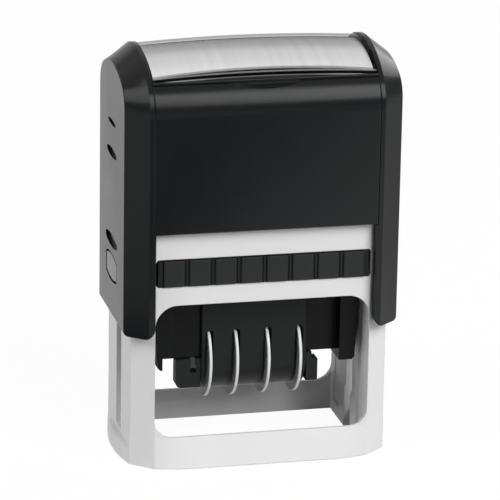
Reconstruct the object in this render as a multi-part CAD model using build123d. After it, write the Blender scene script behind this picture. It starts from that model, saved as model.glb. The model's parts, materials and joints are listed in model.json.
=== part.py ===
"""Self-inking date stamp: a moulded base frame, a sprung handle that slides over it, a sliding
ink pad, and a dater with four setting wheels that turns over as the handle goes down.

Millimetres. X is the width, -Y is the front, +Z is up, and z = 0 is the printing plane.
The model stands at rest: the handle is up and the die faces the ink pad.
"""
from build123d import *
import math
import os

# Base frame: the stack of openings and rails, from the foot up
window_width = 58.0
sill_height = 8.2
window_height = 36.9
middle_rail = 5.1
pad_slot_height = 7.6
top_rail = 10.7
frame_width = 69.8
frame_depth = 38.2
frame_wall = 1.6
deck_thickness = 1.8
corner_bevel = 4.5
window_radius_low = 5.0
window_radius_high = 6.0
slot_radius = 1.0
edge_radius = 0.8

# Foot: the flared skirt that stands on the paper
foot_flare_front = 2.2
foot_flare_ends = 0.45
foot_flare_side = 2.0
foot_side_height = 4.6
foot_side_rounding = 0.8
foot_flat_half = 18.0

# Side columns: outer channel for the handle's tongue, inner slot for the pivot
inner_plate = 1.4
column_inset = 0.4
channel_width = 6.4
channel_floor = 5.5
channel_head = 1.8
core_wall = 1.7
guide_groove_depth = 0.6
guide_groove_width = 5.6
guide_groove_y = 12.0
guide_groove_floor = 3.5
swing_relief = 0.8
swing_relief_below = 3.0
swing_relief_above = 1.0

# Return spring and its seats
spring_mean_radius = 6.3
spring_wire = 1.3
spring_turns = 7.5
spring_side_gap = 1.25
cup_wall = 1.4
cup_depth = 6.5
cup_floor = 1.6
post_radius = 3.6
post_height = 7.0
peg_radius = 4.0
peg_height = 5.0
boss_wall = 1.0
boss_drop = 1.7

# Pad cassette
tray_clearance = 0.15
tray_headroom = 0.3
tray_side_gap = 0.2
tray_roof = 1.6
tray_wall = 1.2
tray_end_wall = 1.8
pad_recess = 0.55
cell_count = 8
cell_proud = 0.55
cell_end_gap = 1.3
cell_groove = 1.3
cell_rib = 0.45
cell_rib_proud = 0.3
cell_radius = 0.3

# Die carrier: plate, cushion and text plate
die_reach = 11.0
pad_gap = 1.9
holder_side_gap = 0.6
holder_swing_gap = 2.5
holder_plate = 1.7
cushion_thickness = 0.7
text_base = 1.1
text_relief = 0.6
text_inset = 0.5
text_side_inset = 1.0
border_width = 0.8
border_inset = 1.2
rule_gap = 1.5
cheek_thickness = 5.3
cheek_draft = 1.1
cheek_half_depth = 12.5
cheek_drop = 13.1
cheek_chamfer = 0.7
cheek_heel = 2.4
cheek_heel_height = 3.3
web_thickness = 1.4
web_face = 8.2
web_drop = 11.3
boss_radius = 4.2
boss_length = 0.9
pivot_radius = 2.4
pivot_clearance = 0.07
pivot_press = 0.02
pivot_overlap = 2.9
pivot_chamfer = 0.4

# Dater: housing, axle, wheels and bands
wheel_radius = 12.0
wheel_thickness = 0.95
wheel_edge_radius = 0.35
wheel_drop = 12.7
wheel_places = (-12.3, -5.0, 3.6, 12.3)
wheel_slot_width = 2.1
wheel_slot_head = 2.0
drum_radius = 4.6
drum_gap = 0.25
axle_radius = 1.5
axle_clearance = 0.06
axle_chamfer = 0.3
housing_radius = 9.6
housing_side_gap = 0.425
housing_wall = 1.3
housing_edge_radius = 0.5
band_thickness = 0.9
band_clearance = 0.15
band_relief = 0.5
band_patch_half = 1.1
band_patch_inset = 0.3
band_flat_half = 1.0
band_shoulder_drop = 1.2
anvil_half_width = 1.9
anvil_height = 3.2
anvil_clearance = 0.08
band_window_gap = 0.5
clip_thickness = 1.2
clip_reach = 3.3
clip_half_depth = 9.0
clip_top = 4.2
clip_bottom = 6.9
clip_hook_height = 1.9
clip_finger = 3.6
clip_finger_radius = 0.5
clip_hook_depth = 2.2
clip_hook_step = 0.3
clip_tab_drop = 0.7
clip_finger_drop = 2.0
clip_lug_reach = 6.7
clip_lug_height = 8.0
clip_radius = 1.5
clip_clearance = 0.15
axle_head = 0.6

# Handle: panels, arched sides and the index window on top
panel_thickness = 1.55
panel_clearance = 0.85
panel_bottom_above_slot = 7.4
panel_half_width = 30.1
arch_rise = 45.9
arch_shoulder = 31.3
arch_radius = 10.5
arch_edge_radius = 0.4
arch_rim = 1.2
panel_edge_radius = 0.3
side_half_depth = 16.6
side_arch_drop = 4.55
side_start_rise = 1.0
side_arch_radius = 7.0
arm_clearance = 0.35
arm_wall = 1.85
arm_below_panel = 28.4
arm_roof = 4.8
arm_end_wall = 4.6
arm_headroom = 0.6
arm_corner_radius = 3.0
arm_outer_radius = 1.2
arm_return = 0.6
arm_return_gap = 0.3
lip_half_depth = 18.0
ledge_thickness = 3.5
ledge_drop = 0.1
rail_gap = 0.4
rail_width = 0.7
rail_rise = 1.1
rail_rounding = 0.3
bed_radius = 29.65
bed_thickness = 1.5
bed_half_depth = 16.6
bed_shelf = 1.0
card_seat = 0.02
card_thickness = 0.25
card_side_margin = 0.4
card_front_margin = 0.9
card_bow = 0.8
cover_gap = 0.2
cover_thickness = 0.9
cover_half_depth = 16.4
cover_side_gap = 0.35
cover_foot = 0.5
cover_seat = 0.03
crown_rise = 0.5
crown_radius = 444.0
thumb_width = 20.0
thumb_depth = 1.4
thumb_cut = 3.0
tongue_clearance = 0.2
tongue_below_pivot = 3.4
tongue_height = 11.4
tongue_recess = 1.5
tongue_step = 3.0
tongue_rounding = 2.4

# Lock buttons in the sides of the handle
button_length = 13.0
button_height = 6.8
button_end = 4.7
button_gap = 0.45
button_depth = 0.85
button_flush = 0.05
button_above_rail = 0.5
button_peg_radius = 1.7
button_flange_height = 9.0
button_flange = 1.0
button_flange_gap = 0.1
button_peg_length = 2.0
button_neck_height = 5.2
button_neck_gap = 0.3
button_rounding = 0.3

# Grip marks: height above the panel's bottom edge, length and width of each
mark_depth = 0.8
marks = ((25.2, 10.0, 1.4), (17.0, 13.0, 2.5), (-7.1, 15.6, 3.5))

# How far a cutting solid runs past what it cuts, and how far a joined one runs into its neighbour
past = 1.0
bite = 0.2

# Heights that follow from the stack
window_head = sill_height + window_height
slot_bottom = window_head + middle_rail
slot_top = slot_bottom + pad_slot_height
frame_height = slot_top + top_rail
half_window = window_width / 2
half_frame = frame_width / 2
half_depth = frame_depth / 2
chamber_x = half_window - column_inset
chamber_y = half_depth - frame_wall
channel_x = chamber_x + inner_plate
half_channel = channel_width / 2

pad_face = slot_bottom + tray_clearance + pad_recess
die_face = pad_face - pad_gap
pivot_z = die_face - die_reach
stroke = pivot_z - die_reach
wheel_z = pivot_z - wheel_drop
housing_half_width = wheel_places[-1] + wheel_thickness / 2 + housing_side_gap + housing_wall

panel_bottom = slot_top + panel_bottom_above_slot
panel_inner = half_depth + panel_clearance
panel_outer = panel_inner + panel_thickness
arch_top = panel_bottom + arch_rise
arch_start = panel_bottom + arch_shoulder
card_radius = bed_radius + card_seat
cover_radius = card_radius + card_thickness + cover_gap
cover_centre = arch_top + crown_rise - cover_radius - cover_thickness
spring_seat_top = cover_centre + bed_radius - bed_thickness - boss_drop
arm_bottom = panel_bottom - arm_below_panel
arm_inner_x = half_frame + arm_clearance
side_half_width = arm_inner_x + arm_wall
arm_hollow_top = frame_height + stroke + arm_headroom
button_z = slot_bottom + button_above_rail


def block(x0, x1, y0, y1, z0, z1):
    """A box between two corners."""
    centre = Pos((x0 + x1) / 2, (y0 + y1) / 2, (z0 + z1) / 2)
    return centre * Box(x1 - x0, y1 - y0, z1 - z0)


def rod_x(radius, x0, x1, y, z):
    """A cylinder lying along X."""
    return Pos((x0 + x1) / 2, y, z) * Rot(0, 90, 0) * Cylinder(radius, x1 - x0)


def rod_z(radius, z0, z1):
    """A cylinder standing on the middle of the part."""
    return Pos(0, 0, (z0 + z1) / 2) * Cylinder(radius, z1 - z0)


def in_yz(points, x0, x1):
    """A closed outline of (y, z) points, drawn out from x0 to x1."""
    outline = Polyline(*[(x0, y, z) for y, z in points], close=True)
    return extrude(make_face(outline), amount=x1 - x0, dir=(1, 0, 0))


def in_xz(points, y0, y1):
    """A closed outline of (x, z) points, drawn out from y0 to y1."""
    outline = Polyline(*[(x, y0, z) for x, z in points], close=True)
    return extrude(make_face(outline), amount=y1 - y0, dir=(0, 1, 0))


def other_side(shape):
    """The same shape on the other side of the X = 0 plane."""
    return mirror(shape, Plane.YZ)


def both_sides(shape):
    """A shape and its mirror image across X = 0."""
    return shape + other_side(shape)


def front_and_back(shape):
    """A shape and its mirror image across Y = 0."""
    return shape + mirror(shape, Plane.XZ)


def frame_outline(z, flare=0.0, ends=0.0, grow=0.0):
    """Outline of the frame at one height. The skirt flares at the front and back, less at its ends."""
    x0 = half_window + grow
    x1 = half_frame + grow
    y0 = half_depth + grow
    y1 = half_depth - corner_bevel + grow
    edges = []
    for turn in (1, -1):
        start = (-turn * x0, -turn * (y0 + ends), z)
        flat_start = (-turn * foot_flat_half, -turn * (y0 + flare), z)
        flat_end = (turn * foot_flat_half, flat_start[1], z)
        end = (turn * x0, start[1], z)
        side_start = (turn * x1, -turn * y1, z)
        side_end = (turn * x1, turn * y1, z)
        if flare > ends:
            edges.append(TangentArc(flat_start, start, tangent=(-turn, 0, 0)))
            edges.append(Line(flat_start, flat_end))
            edges.append(TangentArc(flat_end, end, tangent=(turn, 0, 0)))
        else:
            edges.append(Line(start, flat_start))
            edges.append(Line(flat_start, flat_end))
            edges.append(Line(flat_end, end))
        edges.append(Line(end, side_start))
        edges.append(Line(side_start, side_end))
        edges.append(Line(side_end, (end[0], -end[1], z)))
    return make_face(Wire(edges))


def side_bulge():
    """The foot's flange on the right-hand side: a bowed ledge with a rounded upper edge."""
    y1 = half_depth - corner_bevel
    radius = (y1 ** 2 + foot_flare_side ** 2) / (2 * foot_flare_side)
    centre_x = half_frame + foot_flare_side - radius
    disc = Pos(centre_x, 0, foot_side_height / 2) * Cylinder(radius, foot_side_height)
    disc = fillet(disc.edges().filter_by(GeomType.CIRCLE).sort_by(Axis.Z)[-1], foot_side_rounding)
    return disc & block(half_window + bite, half_frame + foot_flare_side, -y1, y1, 0, foot_side_height)


def frame_blank():
    """The frame's outside: upright walls on a flared foot."""
    upright = frame_outline(sill_height)
    foot = frame_outline(0, foot_flare_front, foot_flare_ends)
    walls = extrude(upright, amount=frame_height - sill_height, dir=(0, 0, 1))
    uprights = walls.edges().filter_by(Axis.Z)
    corners = [e for e in uprights if abs(e.center().X) > foot_flat_half + past]
    walls = fillet(corners, edge_radius)
    top_edges = walls.faces().sort_by(Axis.Z)[-1].edges()
    walls = chamfer(top_edges, edge_radius)
    return walls + loft([foot, upright], ruled=True) + both_sides(side_bulge())


def rounded_opening(half_width, z0, z1, low_radius, high_radius):
    """A rounded opening that goes right through from front to back."""
    reach = half_depth + foot_flare_front + past
    opening = block(-half_width, half_width, -reach, reach, z0, z1)
    long_edges = opening.edges().filter_by(Axis.Y).sort_by(Axis.Z)
    opening = fillet(long_edges[:2], low_radius)
    long_edges = opening.edges().filter_by(Axis.Y).sort_by(Axis.Z)
    return fillet(long_edges[-2:], high_radius)


def side_cuts():
    """Channel, pivot slot, cores and guide grooves of the right-hand column."""
    outside = half_frame + foot_flare_side + past
    channel_top = slot_top + channel_head
    cuts = block(channel_x, outside, -half_channel, half_channel, channel_floor, channel_top)
    slot_head = pivot_z + pivot_radius + pivot_clearance
    cuts += block(chamber_x - past, channel_x + past, -half_channel, half_channel, -past, slot_head)
    cuts += rod_x(half_channel, chamber_x - past, channel_x + past, 0, slot_head)
    core_y0 = half_channel + core_wall
    core_y1 = half_depth - corner_bevel - core_wall
    core_x0 = channel_x + inner_plate / 2
    ceiling = frame_height - deck_thickness
    core = block(core_x0, half_frame - core_wall, core_y0, core_y1, -past, ceiling)
    cuts += front_and_back(core)
    groove_y0 = guide_groove_y - guide_groove_width / 2
    groove_y1 = guide_groove_y + guide_groove_width / 2
    groove_x = chamber_x + guide_groove_depth
    groove = block(chamber_x - past, groove_x, groove_y0, groove_y1, guide_groove_floor, window_head)
    return cuts + front_and_back(groove)


def base_frame():
    """The light moulding that everything runs in: open below, with a deck and a spring cup on top."""
    ceiling = frame_height - deck_thickness
    frame = frame_blank()
    frame -= block(-chamber_x, chamber_x, -chamber_y, chamber_y, -past, ceiling)
    frame -= rounded_opening(half_window, sill_height, window_head, window_radius_low, window_radius_high)
    frame -= rounded_opening(half_window, slot_bottom, slot_top, slot_radius, slot_radius)
    relief_low = sill_height - swing_relief_below
    relief_high = sill_height + swing_relief_above
    relief = in_yz(
        [(chamber_y - past, relief_low), (chamber_y, relief_low),
         (chamber_y + swing_relief, relief_high), (chamber_y - past, relief_high)],
        -chamber_x, chamber_x)
    frame -= front_and_back(relief)
    frame -= both_sides(side_cuts())
    cup_radius = spring_mean_radius + spring_wire / 2 + spring_side_gap
    cup_bottom = frame_height - cup_depth
    frame += rod_z(cup_radius + cup_wall, cup_bottom - cup_floor, frame_height)
    frame -= rod_z(cup_radius, cup_bottom, frame_height + past)
    return frame + rod_z(post_radius, cup_bottom, cup_bottom + post_height)


def return_spring():
    """Compression spring between the cup in the frame and the boss under the handle."""
    low = frame_height - cup_depth + spring_wire / 2
    high = spring_seat_top - spring_wire / 2
    path = Helix(pitch=(high - low) / spring_turns, height=high - low, radius=spring_mean_radius)
    start = Plane(origin=path @ 0, z_dir=path % 0)
    coil = sweep(start * Circle(spring_wire / 2), path=path)
    return Pos(0, 0, low) * coil


def tray_size():
    """Half-width, bottom and top of the pad tray."""
    return chamber_x - tray_side_gap, slot_bottom + tray_clearance, slot_top - tray_headroom


def pad_tray():
    """Shallow box, open below, with eight raised grip cells on its front and back."""
    half_width, low, high = tray_size()
    tray = block(-half_width, half_width, -half_depth, half_depth, pad_face, high)
    end = block(-half_width, half_width, -half_depth, -half_depth + tray_end_wall, low, high)
    tray += front_and_back(end)
    inside_x = half_width - tray_wall
    inside_y = half_depth - tray_end_wall
    tray -= block(-inside_x, inside_x, -inside_y, inside_y, low - past, high - tray_roof)
    first = -(half_window - cell_end_gap)
    pitch = -2 * first / cell_count
    cell_width = pitch - cell_groove
    face = -half_depth - cell_proud
    for i in range(cell_count):
        x0 = first + i * pitch + cell_groove / 2
        cell = block(x0, x0 + cell_width, face, -half_depth + bite, low, high)
        cell = fillet(cell.faces().sort_by(Axis.Y)[0].edges(), cell_radius)
        tray += front_and_back(cell)
        if i:
            rib_x = first + i * pitch
            rib_y = -half_depth - cell_rib_proud
            rib = block(rib_x - cell_rib / 2, rib_x + cell_rib / 2, rib_y, -half_depth + bite, low, high)
            tray += front_and_back(rib)
    return tray


def ink_pad():
    """Felt block that fills the tray. Its inked face looks down."""
    half_width, _, high = tray_size()
    x = half_width - tray_wall
    y = half_depth - tray_end_wall
    return block(-x, x, -y, y, pad_face, high - tray_roof)


def holder_size():
    """Half-width and half-depth of the die carrier's plate."""
    return chamber_x - holder_side_gap, chamber_y - holder_swing_gap


def band_spans():
    """X range of each date band. The last two bands share the gap between the last two wheels."""
    ends = []
    for left, right in zip(wheel_places, wheel_places[1:]):
        ends.append((left + wheel_thickness / 2 + drum_gap, right - wheel_thickness / 2 - drum_gap))
    first, second, shared = ends
    middle = sum(shared) / 2
    return [first, second, (shared[0], middle - drum_gap / 2), (middle + drum_gap / 2, shared[1])]


def band_window():
    """X range and half-depth of the opening that the bands pass through."""
    spans = band_spans()
    half = anvil_half_width + anvil_clearance + band_thickness + band_relief + band_window_gap
    return spans[0][0] - band_window_gap, spans[-1][1] + band_window_gap, half


def stack():
    """Heights of the plate, cushion and text plate, from below."""
    text_low = die_face - text_relief - text_base
    plate_high = text_low - cushion_thickness
    return plate_high - holder_plate, plate_high, text_low


def die_holder():
    """Plate that carries the text plate, with webs and cheeks that hang from it to the pivots."""
    half_width, half_y = holder_size()
    plate_low, plate_high, _ = stack()
    x0, x1, half_gap = band_window()
    holder = block(-half_width, half_width, -half_y, half_y, plate_low, plate_high)
    holder -= block(x0, x1, -half_gap, half_gap, plate_low - past, plate_high + past)
    return holder + cheek(True) + other_side(cheek(False))


def cheek(full):
    """Right-hand cheek with its web and pivot boss. A cheek that isn't full stands on a narrow heel."""
    half_width, _ = holder_size()
    plate_low, _, _ = stack()
    inner_x = half_width - cheek_thickness
    low = pivot_z - cheek_drop
    low_x = half_width - cheek_draft
    outline = [(inner_x, plate_low), (half_width, plate_low), (low_x, low + cheek_chamfer),
               (low_x - cheek_chamfer, low)]
    if full:
        outline.append((inner_x, low))
    else:
        heel_x = half_width - cheek_heel
        step = low + cheek_heel_height
        outline += [(heel_x, low), (heel_x, step), (inner_x, step)]
    shape = in_xz(outline, -cheek_half_depth, cheek_half_depth)
    web_low = pivot_z - web_drop
    web = block(housing_half_width, inner_x + bite, -web_face, -web_face + web_thickness, web_low, plate_low)
    shape += front_and_back(web)
    shape += rod_x(boss_radius, inner_x - boss_length, inner_x + bite, 0, pivot_z)
    bore = pivot_radius + pivot_clearance
    return shape - rod_x(bore, inner_x - boss_length - past, half_width + past, 0, pivot_z)


def pivot_pin(side):
    """Stub pin that is fixed in the handle's tongue and carries one cheek of the die holder."""
    half_width, _ = holder_size()
    x0 = half_width - pivot_overlap
    x1 = half_frame - tongue_recess
    pin = rod_x(pivot_radius, x0, x1, 0, pivot_z)
    pin = chamfer(pin.edges().sort_by(Axis.X)[0], pivot_chamfer)
    return pin if side > 0 else other_side(pin)


def plate_cushion():
    """Foam sheet between the holder and the text plate."""
    half_width, half_y = holder_size()
    _, plate_high, text_low = stack()
    x0, x1, half_gap = band_window()
    x = half_width - text_side_inset
    y = half_y - text_inset
    sheet = block(-x, x, -y, y, plate_high, text_low)
    return sheet - block(x0, x1, -half_gap, half_gap, plate_high - past, text_low + past)


def text_plate():
    """Rubber plate with a plain raised border and an opening for the date."""
    half_width, half_y = holder_size()
    _, _, low = stack()
    x0, x1, half_gap = band_window()
    x = half_width - text_side_inset
    y = half_y - text_inset
    base_high = low + text_base
    plate = block(-x, x, -y, y, low, base_high)
    outer_x = x - border_inset
    outer_y = y - border_inset
    inner_x = outer_x - border_width
    inner_y = outer_y - border_width
    border = block(-outer_x, outer_x, -outer_y, outer_y, base_high, die_face)
    border -= block(-inner_x, inner_x, -inner_y, inner_y, base_high - past, die_face + past)
    rule_y = half_gap + rule_gap
    rule = block(-inner_x, inner_x, rule_y, rule_y + border_width, base_high, die_face)
    plate += border + front_and_back(rule)
    return plate - block(x0, x1, -half_gap, half_gap, low - past, die_face + past)


def housing_profile(radius, high):
    """Outline in Y and Z: a half round below the wheel centre with upright walls above it."""
    left = (0, -radius, wheel_z)
    right = (0, radius, wheel_z)
    bottom = (0, 0, wheel_z - radius)
    edges = [
        ThreePointArc(left, bottom, right),
        Line(right, (0, radius, high)),
        Line((0, radius, high), (0, -radius, high)),
        Line((0, -radius, high), left),
    ]
    return make_face(Wire(edges))


def housing_solid(radius, half_width, high):
    """The housing's profile drawn out to both sides of X = 0."""
    return extrude(housing_profile(radius, high), amount=half_width, both=True, dir=(1, 0, 0))


def dater_housing():
    """Cover round the wheels, slotted so that their rims stand out at the front, back and below."""
    plate_low, _, _ = stack()
    shell = housing_solid(housing_radius, housing_half_width, plate_low)
    ends = shell.faces().sort_by(Axis.X)
    rims = [e for e in ends[0].edges() + ends[-1].edges() if e.center().Z < plate_low - past]
    shell = fillet(rims, housing_edge_radius)
    shell -= housing_solid(housing_radius - housing_wall, housing_half_width - housing_wall, plate_low + past)
    shell -= rod_x(axle_radius + axle_clearance, -half_window, half_window, 0, wheel_z)
    exit_rise = math.sqrt(wheel_radius ** 2 - housing_radius ** 2)
    slot_head = wheel_z + exit_rise + wheel_slot_head - wheel_slot_width / 2
    reach = housing_radius + past
    for place in wheel_places:
        x0 = place - wheel_slot_width / 2
        x1 = place + wheel_slot_width / 2
        slot = block(x0, x1, -reach, reach, wheel_z - reach, slot_head)
        slot += Pos(place, 0, slot_head) * Rot(90, 0, 0) * Cylinder(wheel_slot_width / 2, 2 * reach)
        shell -= slot
    half = anvil_half_width + anvil_clearance
    notch_low = anvil_top() - anvil_height
    shell -= block(-half_window, half_window, -half, half, notch_low, plate_low + past)
    return shell


def anvil_top():
    """Top of the bridge that the bands run over, one band below the printing face."""
    return die_face - band_relief - band_thickness - anvil_clearance


def band_anvil():
    """Bridge under the date, with a nose that the bands run over and ends that rest in the housing."""
    high = anvil_top()
    low = high - anvil_height
    plate_low, _, _ = stack()
    x0, x1, _ = band_window()
    nose_x0 = x0 + anvil_clearance
    nose_x1 = x1 - anvil_clearance
    nose = extrude(band_outline(-anvil_clearance, nose_x0), amount=nose_x1 - nose_x0, dir=(1, 0, 0))
    nose &= block(nose_x0, nose_x1, -anvil_half_width, anvil_half_width, low, high)
    ends = block(
        -housing_half_width, housing_half_width, -anvil_half_width, anvil_half_width, low,
        plate_low - anvil_clearance)
    return nose + ends


def band_outline(grow, x):
    """A band's loop: round the drum below and over the anvil above, grown by one distance."""
    low_radius = drum_radius + band_clearance + grow
    half = anvil_half_width + anvil_clearance + grow
    high = anvil_top() + anvil_clearance + grow
    shoulder = high - band_shoulder_drop
    lean = math.asin((low_radius - half) / (shoulder - wheel_z))
    y = low_radius * math.cos(lean)
    z = wheel_z + low_radius * math.sin(lean)
    edges = [
        ThreePointArc((x, -y, z), (x, 0, wheel_z - low_radius), (x, y, z)),
        Line((x, y, z), (x, half, shoulder)),
        Line((x, half, shoulder), (x, band_flat_half + grow, high)),
        Line((x, band_flat_half + grow, high), (x, -band_flat_half - grow, high)),
        Line((x, -band_flat_half - grow, high), (x, -half, shoulder)),
        Line((x, -half, shoulder), (x, -y, z)),
    ]
    return make_face(Wire(edges))


def date_band(span):
    """Rubber loop with a raised printing patch on the anvil."""
    x0, x1 = span
    width = x1 - x0
    outer = extrude(band_outline(band_thickness, x0), amount=width, dir=(1, 0, 0))
    inner = extrude(band_outline(0, x0 - past), amount=width + 2 * past, dir=(1, 0, 0))
    top = anvil_top() + anvil_clearance + band_thickness
    patch = block(
        x0 + band_patch_inset, x1 - band_patch_inset, -band_patch_half, band_patch_half, top, die_face)
    return outer - inner + patch


def setting_wheel(place, span):
    """Thin setting wheel with the drum that drives its band."""
    half = wheel_thickness / 2
    disc = rod_x(wheel_radius, place - half, place + half, 0, wheel_z)
    disc = fillet(disc.edges(), wheel_edge_radius)
    if span[0] > place:
        drum = rod_x(drum_radius, place, span[1], 0, wheel_z)
    else:
        drum = rod_x(drum_radius, span[0], place, 0, wheel_z)
    bore = rod_x(axle_radius + axle_clearance, -half_window, half_window, 0, wheel_z)
    return disc + drum - bore


def dial_axle():
    """Steel rod that the wheels turn on."""
    end = housing_half_width + clip_thickness + axle_head
    rod = rod_x(axle_radius, -end, end, 0, wheel_z)
    return chamfer(rod.edges(), axle_chamfer)


def end_clip(side):
    """Clip over one end of the axle, with a finger tab at the front and back. The left one has a lug."""
    x0 = housing_half_width
    x1 = x0 + clip_thickness
    x2 = x0 + clip_reach
    low = wheel_z - clip_bottom
    tab_high = wheel_z - clip_tab_drop
    finger_high = tab_high if side > 0 else tab_high - clip_finger_drop
    y = clip_half_depth
    neck_y = web_face - web_thickness - clip_clearance
    clip = block(x0, x1, -y, y, low, tab_high)
    clip = fillet(clip.edges().filter_by(Axis.X).group_by(Axis.Z)[0], clip_radius)
    neck = block(x0, x1, -neck_y, neck_y, tab_high - bite, wheel_z + clip_top)
    clip += fillet(neck.edges().filter_by(Axis.X).group_by(Axis.Z)[-1], clip_radius)
    finger = block(x0, x2, -y, -y + clip_finger, low, finger_high)
    finger = fillet(finger.faces().sort_by(Axis.X)[-1].edges(), clip_finger_radius)
    hook_x1 = x1 + clip_hook_step
    hook = block(x0, hook_x1, -y, -y + clip_hook_depth, tab_high, tab_high + clip_hook_height)
    clip += front_and_back(finger + hook)
    clip -= rod_x(axle_radius + axle_clearance, x0 - past, x2 + past, 0, wheel_z)
    if side > 0:
        return clip
    lug = block(x2 - clip_finger_radius, x0 + clip_lug_reach, -y, -y + clip_finger, low, low + clip_lug_height)
    low_edge = lug.edges().filter_by(Axis.Y).group_by(Axis.Z)[0].sort_by(Axis.X)[-1]
    clip += fillet(low_edge, clip_radius)
    return other_side(clip)


def arch_centres(half_y, start, top, radius):
    """Three-centred arch: how far out the shoulders' centres are, the crown's radius and its centre."""
    offset = half_y - radius
    rise = top - start
    crown = (offset ** 2 + rise ** 2 - radius ** 2) / (2 * (rise - radius))
    return offset, crown, top - crown


def arch_face(x, half_y, start, top, radius, low):
    """Upright face across X: straight sides from low to start, round shoulders and a flatter crown."""
    offset, crown, centre = arch_centres(half_y, start, top, radius)
    lean = math.atan2(offset, start - centre)
    join = (crown * math.sin(lean), centre + crown * math.cos(lean))
    half_lean = (math.pi / 2 - lean) / 2
    middle = (offset + radius * math.cos(half_lean), start + radius * math.sin(half_lean))
    edges = [
        Line((x, -half_y, low), (x, -half_y, start)),
        ThreePointArc((x, -half_y, start), (x, -middle[0], middle[1]), (x, -join[0], join[1])),
        ThreePointArc((x, -join[0], join[1]), (x, 0, top), (x, join[0], join[1])),
        ThreePointArc((x, join[0], join[1]), (x, middle[0], middle[1]), (x, half_y, start)),
        Line((x, half_y, start), (x, half_y, low)),
        Line((x, half_y, low), (x, -half_y, low)),
    ]
    return make_face(Wire(edges))


def inner_arch(x, low):
    """Side view of the handle where the panels meet the arched sides."""
    return arch_face(x, panel_outer, arch_start, arch_top, arch_radius, low)


def outer_arch(x, low):
    """Side view of the handle at its outermost faces."""
    top = arch_top - side_arch_drop
    return arch_face(x, side_half_depth, arch_start + side_start_rise, top, side_arch_radius, low)


def dome(inner_radius, outer_radius, half_y, half_x):
    """A shell that is arched front to back and crowned a little from side to side."""
    high = cover_centre + outer_radius + past
    ring = Circle(outer_radius) - Circle(inner_radius)
    section = Plane.YZ * Pos(0, cover_centre) * ring
    keep = Polyline(
        (0, -half_y, cover_centre), (0, half_y, cover_centre), (0, half_y, high), (0, -half_y, high),
        close=True)
    section = section & make_face(keep)
    axis = Axis((0, 0, arch_top + crown_rise - crown_radius), (0, 1, 0))
    swing = math.degrees(math.asin((half_x + past) / (crown_radius - bed_radius)))
    shell = revolve(section.rotate(axis, -swing), axis=axis, revolution_arc=2 * swing)
    return shell & block(-half_x, half_x, -half_y, half_y, cover_centre, high)


def dome_height(radius, x, y):
    """Height of a point on the dome of this radius."""
    sag = crown_radius - math.sqrt(crown_radius ** 2 - x ** 2)
    return cover_centre + math.sqrt(radius ** 2 - y ** 2) - sag


def index_window():
    """Clear snap-on cover of the index card, with a foot along its front and back edges."""
    half_x = panel_half_width - cover_side_gap
    window = dome(cover_radius, cover_radius + cover_thickness, cover_half_depth, half_x)
    foot = dome(bed_radius + cover_seat, cover_radius + bite, cover_half_depth, half_x)
    inside = cover_half_depth - cover_foot
    return window + (foot - block(-half_x, half_x, -inside, inside, cover_centre, arch_top + past))


def index_card():
    """Silver-grey card under the window. Its front and back edges bow inward a little."""
    half_x = panel_half_width - cover_side_gap - card_side_margin
    half_y = cover_half_depth - cover_foot - card_front_margin
    low = cover_centre
    edges = [
        ThreePointArc((-half_x, -half_y, low), (0, card_bow - half_y, low), (half_x, -half_y, low)),
        Line((half_x, -half_y, low), (half_x, half_y, low)),
        ThreePointArc((half_x, half_y, low), (0, half_y - card_bow, low), (-half_x, half_y, low)),
        Line((-half_x, half_y, low), (-half_x, -half_y, low)),
    ]
    outline = extrude(make_face(Wire(edges)), amount=2 * bed_radius, dir=(0, 0, 1))
    return dome(card_radius, card_radius + card_thickness, half_y + past, half_x + past) & outline


def cover_shell():
    """Front and back panels joined by the arched bed that carries the card and takes the spring."""
    half_x = panel_half_width
    shell = extrude(inner_arch(-half_x, panel_bottom), amount=2 * half_x, dir=(1, 0, 0))
    ends = shell.faces().sort_by(Axis.X)
    shell = fillet(ends[0].edges() + ends[-1].edges() + shell.edges().filter_by(Axis.X).group_by(Axis.Z)[0],
                   panel_edge_radius)
    wide = half_x + past
    ledge_top = dome_height(bed_radius, half_x, bed_half_depth) - ledge_drop
    ledge_low = ledge_top - ledge_thickness
    shell -= block(-wide, wide, -panel_inner, panel_inner, panel_bottom - past, ledge_low)
    shell -= block(-wide, wide, -lip_half_depth, lip_half_depth, ledge_top, arch_top + past)
    inside = bed_half_depth - bed_shelf
    shell -= block(-wide, wide, -inside, inside, ledge_low - past, ledge_top + past)
    bed_inner = bed_radius - bed_thickness
    shell += dome(bed_inner, bed_radius, bed_half_depth, half_x)
    rail_y0 = -lip_half_depth + rail_gap
    rail_high = ledge_top + rail_rise
    rail = block(-half_x, half_x, rail_y0, rail_y0 + rail_width, ledge_top - bite, rail_high)
    rail = fillet(rail.edges().filter_by(Axis.X).group_by(Axis.Z)[-1], rail_rounding)
    shell += front_and_back(rail)
    spring_boss_radius = spring_mean_radius + spring_wire / 2 + boss_wall
    boss = rod_z(spring_boss_radius, spring_seat_top, cover_centre + bed_inner + bite)
    shell += boss + rod_z(peg_radius, spring_seat_top - peg_height, spring_seat_top + bite)
    thumb_radius = (thumb_width ** 2 / 4 + thumb_depth ** 2) / (2 * thumb_depth)
    thumb_z = lip_height() - thumb_depth + thumb_radius
    thumb_y = -lip_half_depth - thumb_cut
    return shell - Pos(0, thumb_y, thumb_z) * Rot(90, 0, 0) * Cylinder(thumb_radius, 2 * thumb_cut)


def lip_height():
    """Height of the panel's top edge, on the arch's shoulder."""
    offset, _, _ = arch_centres(panel_outer, arch_start, arch_top, arch_radius)
    return arch_start + math.sqrt(arch_radius ** 2 - (lip_half_depth - offset) ** 2)


def lens(length, width, depth, x, z):
    """A long oval mark cut into the side of the handle, from front to back."""
    outline = Plane.YZ.offset(x) * Pos(0, z) * Ellipse(length / 2, width / 2)
    return extrude(outline, amount=-depth, dir=(1, 0, 0))


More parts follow.
